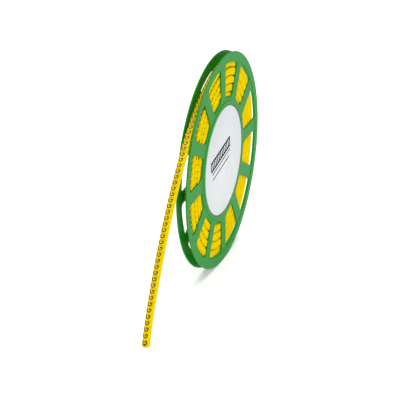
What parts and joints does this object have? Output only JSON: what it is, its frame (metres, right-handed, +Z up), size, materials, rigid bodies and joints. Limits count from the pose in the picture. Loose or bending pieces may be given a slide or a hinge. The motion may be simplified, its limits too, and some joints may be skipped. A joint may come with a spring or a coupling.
{
  "type": "reel of slip-on cable markers",
  "caption": "Thin two-flange green plastic reel with windowed sides, wound with a yellow strip of slip-on cable markers whose free end arches down to the floor.",
  "frame": {"origin": "on the floor, midway along the part's length and midway between the reel's two faces", "axes": "+Z up, -Y out of the labelled face along the reel's axis, and -X towards the strip's free end"},
  "size_m": [0.1664, 0.0058, 0.115],
  "materials": {
    "reel_green": "satin moulded",
    "strip_yellow": "soft satin",
    "label_white": "smooth film"
  },
  "bodies": {
    "root": {"front_flange": "reel_green", "rear_flange": "reel_green", "marker_strip": "strip_yellow", "label": "label_white"}
  },
  "joints": []
}
